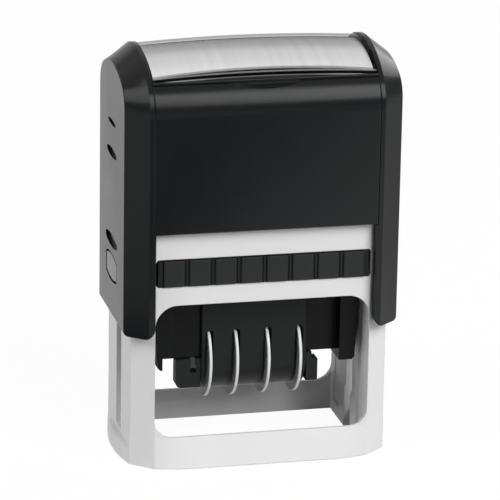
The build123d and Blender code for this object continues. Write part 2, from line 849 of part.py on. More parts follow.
def barrel(length, height, end, x0, x1, z):
    """Button outline with straight ends and bowed long sides, drawn out along X."""
    half = length / 2
    low = z - end / 2
    high = z + end / 2
    edges = [
        Line((x0, -half, low), (x0, -half, high)),
        ThreePointArc((x0, -half, high), (x0, 0, z + height / 2), (x0, half, high)),
        Line((x0, half, high), (x0, half, low)),
        ThreePointArc((x0, half, low), (x0, 0, z - height / 2), (x0, -half, low)),
    ]
    return extrude(make_face(Wire(edges)), amount=x1 - x0, dir=(1, 0, 0))


def arm_hollow():
    """Space inside the right-hand arch: the frame with its clearance, and the room above it."""
    low = arm_bottom - past
    outline = frame_outline(low, grow=arm_clearance)
    hollow = extrude(outline, amount=arm_hollow_top - low, dir=(0, 0, 1))
    y = side_half_depth - arm_end_wall
    roof = arch_top - side_arch_drop - arm_roof
    return hollow + block(panel_half_width - past, arm_inner_x, -y, y, low, roof)


def arch_blank():
    """Outside of the right-hand arch, with its lips behind the panel line and rounded lower ends."""
    low = arm_bottom
    x0 = panel_half_width - arm_return
    rim_x = panel_half_width + arch_rim
    blank = extrude(inner_arch(panel_half_width, low), amount=arch_rim, dir=(1, 0, 0))
    blank += loft([inner_arch(rim_x, low), outer_arch(side_half_width, low)], ruled=True)
    for rim in (blank.faces().sort_by(Axis.X)[0], blank.faces().sort_by(Axis.X)[-1]):
        blank = fillet([e for e in rim.edges() if e.center().Z > low + past], arch_edge_radius)
    return_y = half_depth + arm_return_gap
    lip = block(x0, panel_half_width + bite, -panel_outer, -return_y, low, panel_bottom)
    blank += front_and_back(lip)
    trim = block(x0, side_half_width, -panel_outer, panel_outer, low, arch_top)
    for place, radius in ((0, arm_corner_radius), (-1, arm_outer_radius)):
        low_edges = trim.edges().filter_by(Axis.Y).group_by(Axis.Z)[0].sort_by(Axis.X)
        trim = fillet(low_edges[place], radius)
    return blank & trim


def tongue():
    """Tongue that runs in the frame's channel and holds the pivot pin."""
    half_y = half_channel - tongue_clearance
    low = pivot_z - tongue_below_pivot
    high = low + tongue_height
    x0 = channel_x + tongue_clearance
    bar = block(x0, half_frame - tongue_recess, -half_y, half_y, low, high)
    bar = fillet(bar.edges().filter_by(Axis.X).group_by(Axis.Z)[0], tongue_rounding)
    bar += block(x0, arm_inner_x + bite, -half_y, half_y, pivot_z + tongue_step, high)
    return bar - rod_x(pivot_radius + pivot_press, x0 - past, half_frame - tongue_recess, 0, pivot_z)


def arch_side(side):
    """One arched side of the handle, with its tongue in the frame's channel."""
    arch = arch_blank() - arm_hollow() + tongue()
    grow = 2 * button_gap
    arch -= barrel(
        button_length + grow, button_height + grow, button_end + grow,
        arm_inner_x - past, side_half_width + past, button_z)
    for height, length, width in marks:
        arch -= lens(length, width, mark_depth, side_half_width, panel_bottom + height)
    return arch if side > 0 else other_side(arch)


def lock_button(side):
    """Push button in the side of the handle, with a flange and peg in the frame's channel."""
    outer = side_half_width - button_flush
    inner = outer - button_depth
    button = barrel(button_length, button_height, button_end, inner, outer, button_z)
    button = fillet(button.faces().sort_by(Axis.X)[-1].edges(), button_rounding)
    flange_y = half_channel - button_neck_gap
    flange_x1 = arm_inner_x - button_flange_gap
    flange_x0 = flange_x1 - button_flange
    neck = button_neck_height / 2
    half = button_flange_height / 2
    button += block(flange_x1 - bite, inner + bite, -flange_y, flange_y, button_z - neck, button_z + neck)
    button += block(flange_x0, flange_x1, -flange_y, flange_y, button_z - half, button_z + half)
    button += rod_x(button_peg_radius, flange_x0 - button_peg_length, flange_x0 + bite, 0, button_z)
    return button if side > 0 else other_side(button)


def build_parts():
    """Every node and its solid."""
    spans = band_spans()
    parts = {
        "base_frame": base_frame(),
        "return_spring": return_spring(),
        "pad_tray": pad_tray(),
        "ink_pad": ink_pad(),
        "cover_shell": cover_shell(),
        "left_arch": arch_side(-1),
        "right_arch": arch_side(1),
        "index_card": index_card(),
        "index_window": index_window(),
        "lock_button_left": lock_button(-1),
        "lock_button_right": lock_button(1),
        "pivot_pin_left": pivot_pin(-1),
        "pivot_pin_right": pivot_pin(1),
        "die_holder": die_holder(),
        "plate_cushion": plate_cushion(),
        "text_plate": text_plate(),
        "dater_housing": dater_housing(),
        "band_anvil": band_anvil(),
        "dial_axle": dial_axle(),
        "end_clip_left": end_clip(-1),
        "end_clip_right": end_clip(1),
    }
    for i, (place, span) in enumerate(zip(wheel_places, spans), 1):
        parts[f"setting_wheel_{i}"] = setting_wheel(place, span)
        parts[f"date_band_{i}"] = date_band(span)
    return parts


def main():
    os.makedirs("parts", exist_ok=True)
    for name, shape in build_parts().items():
        export_step(shape, f"parts/{name}.step")


main()
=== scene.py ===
"""Looks of the self-inking date stamp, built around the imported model. Everything is in metres."""
import json
import math

import bmesh
import bpy
from mathutils import Matrix, Vector, noise


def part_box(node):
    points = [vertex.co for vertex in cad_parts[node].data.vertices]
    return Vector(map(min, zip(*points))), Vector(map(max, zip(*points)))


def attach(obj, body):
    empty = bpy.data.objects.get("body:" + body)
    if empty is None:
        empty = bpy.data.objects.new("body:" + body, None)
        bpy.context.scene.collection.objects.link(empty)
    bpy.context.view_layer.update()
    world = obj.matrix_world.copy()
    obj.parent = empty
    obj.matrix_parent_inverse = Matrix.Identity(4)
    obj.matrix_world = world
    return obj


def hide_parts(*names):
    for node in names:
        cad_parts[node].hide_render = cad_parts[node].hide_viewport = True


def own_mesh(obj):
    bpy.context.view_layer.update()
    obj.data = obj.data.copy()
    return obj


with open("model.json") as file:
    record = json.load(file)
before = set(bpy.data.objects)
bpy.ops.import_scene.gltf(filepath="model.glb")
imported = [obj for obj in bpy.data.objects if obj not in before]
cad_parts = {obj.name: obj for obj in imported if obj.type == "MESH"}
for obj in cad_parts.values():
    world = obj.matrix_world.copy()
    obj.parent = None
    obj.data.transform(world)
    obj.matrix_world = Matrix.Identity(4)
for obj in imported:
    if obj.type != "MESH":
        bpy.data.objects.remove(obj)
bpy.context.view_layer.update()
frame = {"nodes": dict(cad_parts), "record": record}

MM = 0.001

# The photograph's camera: turn, tilt and roll in degrees, distance, and where it looks
IMAGE_SIZE = 500
CAMERA_TURN = 13.494
CAMERA_TILT = 17.500
CAMERA_ROLL = 0.985
CAMERA_DISTANCE = 0.9345
LOOK_HEIGHT = 0.05426
FOCAL_PIXELS = 3496.4
SENSOR_MM = 36.0
LOOK_PIXEL = (247.62, 246.04)

# Floor: its colour, and how far and how bright it is seen whiter than it is lit
FLOOR_SIZE = 8.0
FLOOR_COLOR = (0.43, 0.43, 0.43)
FLOOR_WHITENING = 0.90
FLOOR_WHITE = 1.06

# Painted reflection: the floor glows in reflections in front of the object, with shares of a peak
# brightness along x + slant * y, and where y fades it out
FLOOR_SHEEN = ((0.10, 0.60), (0.34, 0.60), (0.44, 0.0), (0.60, 0.0), (0.74, 1.0))
FLOOR_SHEEN_SPAN = (-0.30, 0.0)
FLOOR_SHEEN_SLANT = 0.6
FLOOR_SHEEN_PEAK = 2.6
FLOOR_SHEEN_FADE = (-0.03, 0.01)

# Sky in reflections, from the horizon up, and its strength as light and in reflections
SKY = ((0.0, 0.80), (0.34, 0.74), (0.42, 0.36), (0.47, 0.36), (0.54, 1.0), (1.0, 1.0))
SKY_STRENGTH = 0.06
SKY_REFLECTED = 1.0

# Each lamp: place, size and power
LAMPS = {
    "key": ((0.45, -0.80, 0.75), 0.7, 11.9),
    "left": ((-0.95, -0.15, 0.75), 0.7, 6.8),
    "back": ((0.90, 0.75, 0.60), 0.7, 4.5),
    "top": ((0.0, 0.05, 1.1), 0.9, 0.5),
}

# Return spring: wire, turns, closed turns at each end, the part of a turn that opens them, and its mesh
SPRING_WIRE = 1.3 * MM
SPRING_TURNS = 7.5
SPRING_CLOSED_TURNS = 0.9
SPRING_EASE = 0.25
SPRING_STEPS = 36
SPRING_SIDES = 14

# Radius that the shading gives to sharp moulded edges, and features per metre of a plastic's tone
EDGE_RADIUS = 0.25 * MM
BEVEL_SAMPLES = 4
TONE_SCALE = 45

# Ink pad: play in its tray, rounding, mesh step, crown and roughness of its face
PAD_PLAY = 0.08 * MM
PAD_ROUNDING = 0.7 * MM
PAD_STEP = 0.6 * MM
PAD_CROWN = 0.25 * MM
PAD_FUZZ = 0.12 * MM
PAD_FUZZ_SCALE = 900

# Foam sheet: layers of its mesh, and how far its edges are drawn in at the top and bottom
FOAM_LAYERS = 6
FOAM_TUCK = 0.12 * MM

# Faces of the grip cells on the pad tray, from the middle of the object, and how deep a gap turns dark with
# painted shade
CELL_FACE_Y = -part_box("pad_tray")[0].y
CELL_GAP_SHADE_DEPTHS = (0.1 * MM, 0.35 * MM)

# How far a face of a wheel turns sideways, from its rim to its flank, where painted shade darkens it
FLANK_SHADE_TURN = (0.55, 0.85)

# The clear cover's cut rim with its painted highlight lines and its dark band of painted shade, and the
# edge of the card below it
COVER_LOW, COVER_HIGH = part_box("index_window")
CARD_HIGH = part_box("index_card")[1]
CARD_BOW = 0.8 * MM
CARD_PARALLAX = 0.75 * MM
CROWN_RADIUS = 444 * MM
RIM_HEIGHT = 1.6 * MM
RIM_LINE = 0.35 * MM
RIM_LINE_FADE = 0.15 * MM
RIM_LOW_SHINE = (0.28, 0.85)
RIM_LOW_SHINE_AT = (12 * MM, 26 * MM)
RIM_HIGH_SHINE = 0.22
RIM_FACE_DEPTHS = (0.12 * MM, 0.04 * MM)
# Painted shade: how the dark strip beside the card fades in, and how much polish it keeps.
STRIP_FADE = 0.25 * MM
STRIP_POLISH = 0.25

# The clear cover: its softened edges, and the turn away from the eye over which it looks darker
COVER_EDGE_RADIUS = 0.5 * MM
COVER_GRAZING = (0.70, 0.90)
COVER_GRAZING_TINT = (0.58, 0.58, 0.58)


def add_camera():
    """The camera, from turn, tilt, roll and distance about a point on the object's middle line."""
    turn = math.radians(CAMERA_TURN)
    tilt = math.radians(CAMERA_TILT)
    roll = math.radians(CAMERA_ROLL)
    back = Vector((-math.sin(turn) * math.cos(tilt), -math.cos(turn) * math.cos(tilt), math.sin(tilt)))
    level = Vector((math.cos(turn), -math.sin(turn), 0))
    upright = back.cross(level)
    right = math.cos(roll) * level + math.sin(roll) * upright
    up = math.cos(roll) * upright - math.sin(roll) * level
    place = Vector((0, 0, LOOK_HEIGHT)) + CAMERA_DISTANCE * back
    data = bpy.data.cameras.new("camera")
    data.sensor_width = SENSOR_MM
    data.lens = FOCAL_PIXELS * SENSOR_MM / IMAGE_SIZE
    data.shift_x = (IMAGE_SIZE / 2 - LOOK_PIXEL[0]) / IMAGE_SIZE
    data.shift_y = (LOOK_PIXEL[1] - IMAGE_SIZE / 2) / IMAGE_SIZE
    data.clip_start = 0.01
    camera = bpy.data.objects.new("camera", data)
    columns = Matrix((right, up, back)).transposed().to_4x4()
    camera.matrix_world = Matrix.Translation(place) @ columns
    bpy.context.scene.collection.objects.link(camera)
    bpy.context.scene.camera = camera


def add_node(tree, kind, settings=None, **inputs):
    """A shader node with its settings and unlinked inputs. An input given as a socket is linked."""
    node = tree.nodes.new(kind)
    for key, value in (settings or {}).items():
        setattr(node, key, value)
    for key, value in inputs.items():
        socket = node.inputs[key.replace("_", " ")]
        if isinstance(value, bpy.types.NodeSocket):
            tree.links.new(value, socket)
        else:
            socket.default_value = value
    return node


def ramp(tree, source, stops):
    """A colour ramp through (position, grey or colour) stops."""
    node = add_node(tree, "ShaderNodeValToRGB", Fac=source)
    elements = node.color_ramp.elements
    while len(elements) < len(stops):
        elements.new(0.5)
    for element, (place, value) in zip(elements, stops):
        element.position = place
        color = value if hasattr(value, "__len__") else (value, value, value)
        element.color = (*color, 1)
    return node.outputs["Color"]


def math_node(tree, operation, first, second=None):
    """One step of arithmetic on sockets or numbers."""
    node = add_node(tree, "ShaderNodeMath", {"operation": operation})
    for socket, value in zip(node.inputs, (first, second)):
        if isinstance(value, bpy.types.NodeSocket):
            tree.links.new(value, socket)
        elif value is not None:
            socket.default_value = value
    return node.outputs[0]


def tinted(tree, color, factor, tint):
    """A colour multiplied by a tint where the factor is 1, and left as it is where the factor is 0."""
    node = add_node(tree, "ShaderNodeMix", {"data_type": "RGBA", "blend_type": "MULTIPLY"})
    tree.links.new(factor, node.inputs[0])
    tree.links.new(color, node.inputs[6])
    node.inputs[7].default_value = (*tint, 1)
    return node.outputs[2]


def new_material(name):
    """A material with its node tree and its shader."""
    material = bpy.data.materials.new(name)
    material.use_nodes = True
    tree = material.node_tree
    return material, tree, tree.nodes["Principled BSDF"]


def place_texture(tree, kind, scale, settings=None, stretch=None, **inputs):
    """A texture laid by the object's own place, in features per metre."""
    where = add_node(tree, "ShaderNodeTexCoord").outputs["Object"]
    if stretch:
        mapping = add_node(tree, "ShaderNodeMapping")
        mapping.inputs["Scale"].default_value = stretch
        tree.links.new(where, mapping.inputs["Vector"])
        where = mapping.outputs["Vector"]
    return add_node(tree, kind, settings, Vector=where, Scale=scale, **inputs)


def moulded(name, color, roughness, ior=1.45, grain=0.006, grain_scale=2600, tone=0.04, edge=EDGE_RADIUS,
            rough_swing=0.06, mask=None, tint=None):
    """Moulded plastic: a fine etched grain, slow changes of tone and sheen, and softened edges.

    Where mask, a function of the node tree, gives 1, the colour is multiplied by tint.
    """
    material, tree, shader = new_material(name)
    shader.inputs["IOR"].default_value = ior
    slow = place_texture(tree, "ShaderNodeTexNoise", TONE_SCALE, Detail=3.0, Roughness=0.55).outputs["Fac"]
    low = [c * (1 - tone) for c in color]
    high = [min(1.0, c * (1 + tone)) for c in color]
    shade = ramp(tree, slow, ((0.3, low), (0.7, high)))
    if mask:
        shade = tinted(tree, shade, mask(tree), tint)
    tree.links.new(shade, shader.inputs["Base Color"])
    fine = place_texture(tree, "ShaderNodeTexNoise", grain_scale, Detail=2.0, Roughness=0.6).outputs["Fac"]
    sheen = add_node(tree, "ShaderNodeMapRange", From_Min=0.3, From_Max=0.7,
                     To_Min=roughness - rough_swing / 2, To_Max=roughness + rough_swing / 2, Value=slow)
    tree.links.new(sheen.outputs["Result"], shader.inputs["Roughness"])
    soft = add_node(tree, "ShaderNodeBevel", {"samples": BEVEL_SAMPLES}, Radius=edge)
    bump = add_node(tree, "ShaderNodeBump", Strength=1.0, Distance=grain * MM, Height=fine,
                    Normal=soft.outputs["Normal"])
    tree.links.new(bump.outputs["Normal"], shader.inputs["Normal"])
    return material


def along(tree, output, axis):
    """One axis of the object's own place or normal, without its sign."""
    vector = add_node(tree, "ShaderNodeTexCoord").outputs[output]
    return math_node(tree, "ABSOLUTE", add_node(tree, "ShaderNodeSeparateXYZ", Vector=vector).outputs[axis])


def stepped(tree, value, start, end, low=0.0, high=1.0):
    """A value that goes from low to high between start and end, and stays there beyond them."""
    return add_node(tree, "ShaderNodeMapRange", From_Min=start, From_Max=end, To_Min=low, To_Max=high,
                    Value=value).outputs["Result"]


def flank_shade_mask(tree):
    """1 on the flat flanks of a wheel, which painted shade darkens, 0 on its rim."""
    return stepped(tree, along(tree, "Normal", "X"), *FLANK_SHADE_TURN)


def gap_shade_mask(tree):
    """1 in the gaps between the grip cells, which painted shade darkens, 0 on the cells' faces."""
    start, end = CELL_GAP_SHADE_DEPTHS
    return stepped(tree, along(tree, "Object", "Y"), CELL_FACE_Y - start, CELL_FACE_Y - end)


def rim_glint_and_shade_masks(tree):
    """Two masks of the clear cover: painted highlight lines on its cut rim, and painted shade beside the
    card.
    """
    across = along(tree, "Object", "X")
    depth = along(tree, "Object", "Y")
    bend = math_node(tree, "MULTIPLY", across, across)
    rise = math_node(tree, "ADD", along(tree, "Object", "Z"), math_node(
        tree, "MULTIPLY", bend, 0.5 / CROWN_RADIUS))
    foot = COVER_LOW.z + 0.5 * COVER_HIGH.x ** 2 / CROWN_RADIUS
    # Painted highlight: a bright line low on the rim's cut face, and a fainter one at its top.
    low_glint_line = stepped(tree, rise, foot + RIM_LINE, foot + RIM_LINE + RIM_LINE_FADE, 1.0, 0.0)
    shine = stepped(tree, across, *RIM_LOW_SHINE_AT, *RIM_LOW_SHINE)
    low_glint_line = math_node(tree, "MULTIPLY", low_glint_line, shine)
    top = foot + RIM_HEIGHT - 2 * RIM_LINE_FADE
    high_glint_line = stepped(tree, rise, top - RIM_LINE_FADE, top, 0.0, RIM_HIGH_SHINE)
    start, end = RIM_FACE_DEPTHS
    face = stepped(tree, depth, COVER_HIGH.y - start, COVER_HIGH.y - end)
    lines = math_node(tree, "MULTIPLY", math_node(tree, "MAXIMUM", low_glint_line, high_glint_line), face)
    # Painted shade: a strip of the cover beside the card's bowed edge.
    edge = math_node(tree, "SUBTRACT", depth, math_node(
        tree, "MULTIPLY", bend, CARD_BOW / CARD_HIGH.x ** 2))
    start = CARD_HIGH.y - CARD_BOW + CARD_PARALLAX
    strip = stepped(tree, edge, start, start + STRIP_FADE)
    return lines, strip


def steel(name, color, roughness, stretch):
    """Drawn or ground steel with fine lines along its length."""
    material, tree, shader = new_material(name)
    shader.inputs["Metallic"].default_value = 1.0
    lines = place_texture(tree, "ShaderNodeTexNoise", 1800, stretch=stretch, Detail=3.0).outputs["Fac"]
    tree.links.new(ramp(tree, lines, ((0.25, [c * 0.86 for c in color]), (0.75, color))),
                   shader.inputs["Base Color"])
    swing = add_node(tree, "ShaderNodeMapRange", From_Min=0.3, From_Max=0.7, To_Min=roughness - 0.05,
                     To_Max=roughness + 0.07, Value=lines)
    tree.links.new(swing.outputs["Result"], shader.inputs["Roughness"])
    bump = add_node(tree, "ShaderNodeBump", Strength=1.0, Distance=0.004 * MM, Height=lines)
    tree.links.new(bump.outputs["Normal"], shader.inputs["Normal"])
    return material


def silver_card(name):
    """Satin silver film: metal with a very fine sparkle and faint brushed lines from front to back."""
    material, tree, shader = new_material(name)
    shader.inputs["Metallic"].default_value = 1.0
    flakes = place_texture(tree, "ShaderNodeTexNoise", 5200, Detail=1.0).outputs["Fac"]
    lines = place_texture(tree, "ShaderNodeTexNoise", 500, stretch=(1, 0.02, 0.02),
                          Detail=3.0).outputs["Fac"]
    tree.links.new(ramp(tree, lines, ((0.3, (0.71, 0.71, 0.71)), (0.7, (0.79, 0.79, 0.79)))),
                   shader.inputs["Base Color"])
    shader.inputs["Roughness"].default_value = 0.30
    bump = add_node(tree, "ShaderNodeBump", Strength=1.0, Distance=0.0025 * MM, Height=flakes)
    tree.links.new(bump.outputs["Normal"], shader.inputs["Normal"])
    return material


def clear_plastic(name):
    """Thin clear cover: what is behind shows through, under a polished surface with faint handling marks.

    Two thin lines of painted highlight lie on its cut rim, and painted shade darkens the band between the
    card and the rim.
    """
    material, tree, shader = new_material(name)
    lines, strip = rim_glint_and_shade_masks(tree)
    smudge = place_texture(tree, "ShaderNodeTexNoise", 60, Detail=4.0).outputs["Fac"]
    haze = add_node(tree, "ShaderNodeMapRange", From_Min=0.45, From_Max=0.75, To_Min=0.03, To_Max=0.10,
                    Value=smudge)
    # Painted highlight: on the rim lines the cover takes a pale colour.
    tree.links.new(ramp(tree, lines, ((0.0, 0.02), (0.1, 0.85))), shader.inputs["Base Color"])
    tree.links.new(haze.outputs["Result"], shader.inputs["Roughness"])
    soft = add_node(tree, "ShaderNodeBevel", {"samples": BEVEL_SAMPLES},
                    Radius=COVER_EDGE_RADIUS).outputs["Normal"]
    tree.links.new(soft, shader.inputs["Normal"])
    # Painted shade: what shows through the strip beside the card is darkened, and reflects less there.
    shade = ramp(tree, strip, ((0.0, (0.975, 0.975, 0.975)), (1.0, (0.45, 0.45, 0.45))))
    grazing = add_node(tree, "ShaderNodeLayerWeight", Blend=0.5).outputs["Facing"]
    shade = tinted(tree, shade, stepped(tree, grazing, *COVER_GRAZING), COVER_GRAZING_TINT)
    clear = add_node(tree, "ShaderNodeBsdfTransparent", Color=shade)
    gloss = add_node(tree, "ShaderNodeFresnel", IOR=1.42, Normal=soft)
    inside = add_node(tree, "ShaderNodeNewGeometry").outputs["Backfacing"]
    outside = math_node(tree, "SUBTRACT", 1.0, inside)
    polish = stepped(tree, strip, 0.0, 1.0, 1.0, STRIP_POLISH)
    polish = math_node(tree, "MULTIPLY", gloss.outputs["Fac"], polish)
    share = math_node(tree, "MULTIPLY", math_node(tree, "MAXIMUM", polish, lines), outside)
    mix = add_node(tree, "ShaderNodeMixShader")
    tree.links.new(share, mix.inputs[0])
    tree.links.new(clear.outputs["BSDF"], mix.inputs[1])
    tree.links.new(shader.outputs["BSDF"], mix.inputs[2])
    tree.links.new(mix.outputs["Shader"], tree.nodes["Material Output"].inputs["Surface"])
    return material


def felt(name):
    """Dense felt wet with black ink: matt fibres, slightly shiny where the ink lies."""
    material, tree, shader = new_material(name)
    fibres = place_texture(tree, "ShaderNodeTexNoise", 2400, stretch=(1, 0.25, 1), Detail=5.0,
                           Roughness=0.75, Distortion=1.5).outputs["Fac"]
    blots = place_texture(tree, "ShaderNodeTexNoise", 120, Detail=4.0).outputs["Fac"]
    tree.links.new(ramp(tree, blots, ((0.35, (0.012, 0.012, 0.017)), (0.7, (0.030, 0.030, 0.040)))),
                   shader.inputs["Base Color"])
    wet = add_node(tree, "ShaderNodeMapRange", From_Min=0.35, From_Max=0.65, To_Min=0.62, To_Max=0.95,
                   Value=blots)
    tree.links.new(wet.outputs["Result"], shader.inputs["Roughness"])
    shader.inputs["Sheen Weight"].default_value = 0.25
    bump = add_node(tree, "ShaderNodeBump", Strength=1.0, Distance=0.06 * MM, Height=fibres)
    tree.links.new(bump.outputs["Normal"], shader.inputs["Normal"])
    return material


def foam(name):
    """Fine-celled foam rubber, with painted shade in the pits of its cells."""
    material, tree, shader = new_material(name)
    cells = place_texture(tree, "ShaderNodeTexVoronoi", 2600, {"feature": "F1"}).outputs["Distance"]
    # Painted shade: the colour darkens towards the middle of each cell, where the bump dents it.
    tree.links.new(ramp(tree, cells, ((0.15, (0.06, 0.06, 0.065)), (0.6, (0.19, 0.19, 0.20)))),
                   shader.inputs["Base Color"])
    shader.inputs["Roughness"].default_value = 0.85
    bump = add_node(tree, "ShaderNodeBump", Strength=1.0, Distance=0.05 * MM, Height=cells)
    tree.links.new(bump.outputs["Normal"], shader.inputs["Normal"])
    return material


def rubber(name):
    """Dark printing rubber with a faint bloom and a trace of ink on its raised faces."""
    material, tree, shader = new_material(name)
    bloom = place_texture(tree, "ShaderNodeTexNoise", 220, Detail=4.0).outputs["Fac"]
    tree.links.new(ramp(tree, bloom, ((0.35, (0.035, 0.034, 0.036)), (0.7, (0.075, 0.073, 0.075)))),
                   shader.inputs["Base Color"])
    swing = add_node(tree, "ShaderNodeMapRange", From_Min=0.35, From_Max=0.7, To_Min=0.5, To_Max=0.78,
                     Value=bloom)
    tree.links.new(swing.outputs["Result"], shader.inputs["Roughness"])
    grain = place_texture(tree, "ShaderNodeTexNoise", 3800, Detail=2.0).outputs["Fac"]
    soft = add_node(tree, "ShaderNodeBevel", {"samples": BEVEL_SAMPLES}, Radius=0.12 * MM)
    bump = add_node(tree, "ShaderNodeBump", Strength=1.0, Distance=0.012 * MM, Height=grain,
                    Normal=soft.outputs["Normal"])
    tree.links.new(bump.outputs["Normal"], shader.inputs["Normal"])
    return material


def floor_material():
    """Pale floor, seen whiter than it is lit. In front, it glows in reflections with painted light, darker
    towards the left.
    """
    material, tree, shader = new_material("floor")
    mottle = place_texture(tree, "ShaderNodeTexNoise", 3, Detail=2.0).outputs["Fac"]
    low = [c * 0.995 for c in FLOOR_COLOR]
    tree.links.new(ramp(tree, mottle, ((0.3, low), (0.7, FLOOR_COLOR))), shader.inputs["Base Color"])
    shader.inputs["Roughness"].default_value = 0.9
    path = add_node(tree, "ShaderNodeLightPath").outputs
    seen = math_node(tree, "MAXIMUM", path["Is Camera Ray"], path["Is Glossy Ray"])
    seen = math_node(tree, "MAXIMUM", seen, path["Is Transmission Ray"])
    share = math_node(tree, "MULTIPLY", seen, FLOOR_WHITENING)
    place = add_node(tree, "ShaderNodeSeparateXYZ", Vector=add_node(
        tree, "ShaderNodeTexCoord").outputs["Object"]).outputs
    slant = math_node(tree, "ADD", place["X"], math_node(tree, "MULTIPLY", place["Y"], FLOOR_SHEEN_SLANT))
    # Painted reflection: the floor's glow for reflected rays, darker towards the left in front.
    sheen = ramp(tree, stepped(tree, slant, *FLOOR_SHEEN_SPAN), FLOOR_SHEEN)
    sheen = math_node(tree, "SUBTRACT", math_node(tree, "MULTIPLY", sheen, FLOOR_SHEEN_PEAK), 1.0)
    sheen = math_node(tree, "MULTIPLY", sheen, stepped(tree, place["Y"], *FLOOR_SHEEN_FADE, 1.0, 0.0))
    strength = math_node(tree, "ADD", sheen, 1.0)
    direct = path["Is Camera Ray"]
    strength = math_node(tree, "MULTIPLY", strength, math_node(tree, "SUBTRACT", 1.0, direct))
    strength = math_node(tree, "ADD", strength, math_node(tree, "MULTIPLY", direct, FLOOR_WHITE))
    white = add_node(tree, "ShaderNodeEmission", Color=(1, 1, 1, 1), Strength=strength)
    mix = add_node(tree, "ShaderNodeMixShader")
    tree.links.new(share, mix.inputs[0])
    tree.links.new(shader.outputs["BSDF"], mix.inputs[1])
    tree.links.new(white.outputs["Emission"], mix.inputs[2])
    tree.links.new(mix.outputs["Shader"], tree.nodes["Material Output"].inputs["Surface"])
    return material


def add_area(name, place, size, power):
    """A soft square lamp that faces the middle of the object."""
    data = bpy.data.lights.new(name, "AREA")
    data.shape = "SQUARE"
    data.size = size
    data.energy = power
    lamp = bpy.data.objects.new(name, data)
    lamp.location = place
    aim = Vector((0, 0, LOOK_HEIGHT)) - Vector(place)
    lamp.rotation_euler = aim.to_track_quat("-Z", "Y").to_euler()
    bpy.context.scene.collection.objects.link(lamp)


def add_stage():
    """The sky, which the camera sees white and reflections with a darker belt, the lamps and the floor."""
    world = bpy.data.worlds.new("world")
    bpy.context.scene.world = world
    world.use_nodes = True
    tree = world.node_tree
    height = add_node(tree, "ShaderNodeSeparateXYZ",
                      Vector=add_node(tree, "ShaderNodeTexCoord").outputs["Generated"]).outputs["Z"]
    background = tree.nodes["Background"]
    path = add_node(tree, "ShaderNodeLightPath").outputs
    color = add_node(tree, "ShaderNodeMix", {"data_type": "RGBA"})
    tree.links.new(path["Is Camera Ray"], color.inputs[0])
    tree.links.new(ramp(tree, height, SKY), color.inputs[6])
    color.inputs[7].default_value = (1, 1, 1, 1)
    tree.links.new(color.outputs[2], background.inputs["Color"])
    seen = math_node(tree, "MAXIMUM", path["Is Camera Ray"], path["Is Glossy Ray"])
    extra = math_node(tree, "MULTIPLY", seen, SKY_REFLECTED - SKY_STRENGTH)
    tree.links.new(math_node(tree, "ADD", extra, SKY_STRENGTH), background.inputs["Strength"])
    for name, (place, size, power) in LAMPS.items():
        add_area(name, place, size, power)
    bpy.ops.mesh.primitive_plane_add(size=FLOOR_SIZE)
    floor = bpy.context.object
    floor.name = "floor"
    floor.data.materials.append(floor_material())


def link_mesh(name, mesh, material, body, node):
    """A finished mesh as a piece that rides a body and stands for a CAD node."""
    obj = bpy.data.objects.new(name, mesh)
    bpy.context.scene.collection.objects.link(obj)
    obj.data.materials.append(material)
    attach(obj, body)
    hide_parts(node)
    return obj


def padded_slab(name, low, high, radius, step, puff, fuzz):
    """A slab with rounded edges, a slightly crowned underside and a rough surface."""
    counts = [max(2, round((high[i] - low[i]) / step)) for i in range(3)]
    bm = bmesh.new()
    cache = {}

    def vertex(index):
        if index not in cache:
            cache[index] = bm.verts.new(
                [low[i] + (high[i] - low[i]) * index[i] / counts[i] for i in range(3)])
        return cache[index]

    for axis in range(3):
        a, b = [i for i in range(3) if i != axis]
        for end in (0, counts[axis]):
            for i in range(counts[a]):
                for j in range(counts[b]):
                    corners = []
                    for da, db in ((0, 0), (1, 0), (1, 1), (0, 1)):
                        index = [0, 0, 0]
                        index[axis] = end
                        index[a] = i + da
                        index[b] = j + db
                        corners.append(vertex(tuple(index)))
                    bm.faces.new(corners)
    bmesh.ops.recalc_face_normals(bm, faces=bm.faces)
    inner_low = Vector(low) + Vector((radius, radius, radius))
    inner_high = Vector(high) - Vector((radius, radius, radius))
    half = (Vector(high) - Vector(low)) / 2
    middle = (Vector(high) + Vector(low)) / 2
    for v in bm.verts:
        core = Vector([min(max(v.co[i], inner_low[i]), inner_high[i]) for i in range(3)])
        out = v.co - core
        if out.length > 1e-9:
            v.co = core + out.normalized() * radius
        if v.co.z < middle.z:
            u = (v.co.x - middle.x) / half.x
            w = (v.co.y - middle.y) / half.y
            v.co.z += puff * (1 - (1 - u ** 4) * (1 - w ** 4))
            v.co.z += fuzz * (1 + noise.noise(v.co * PAD_FUZZ_SCALE)) / 2
    mesh = bpy.data.meshes.new(name)
    bm.to_mesh(mesh)
    bm.free()
    for polygon in mesh.polygons:
        polygon.use_smooth = True
    return mesh


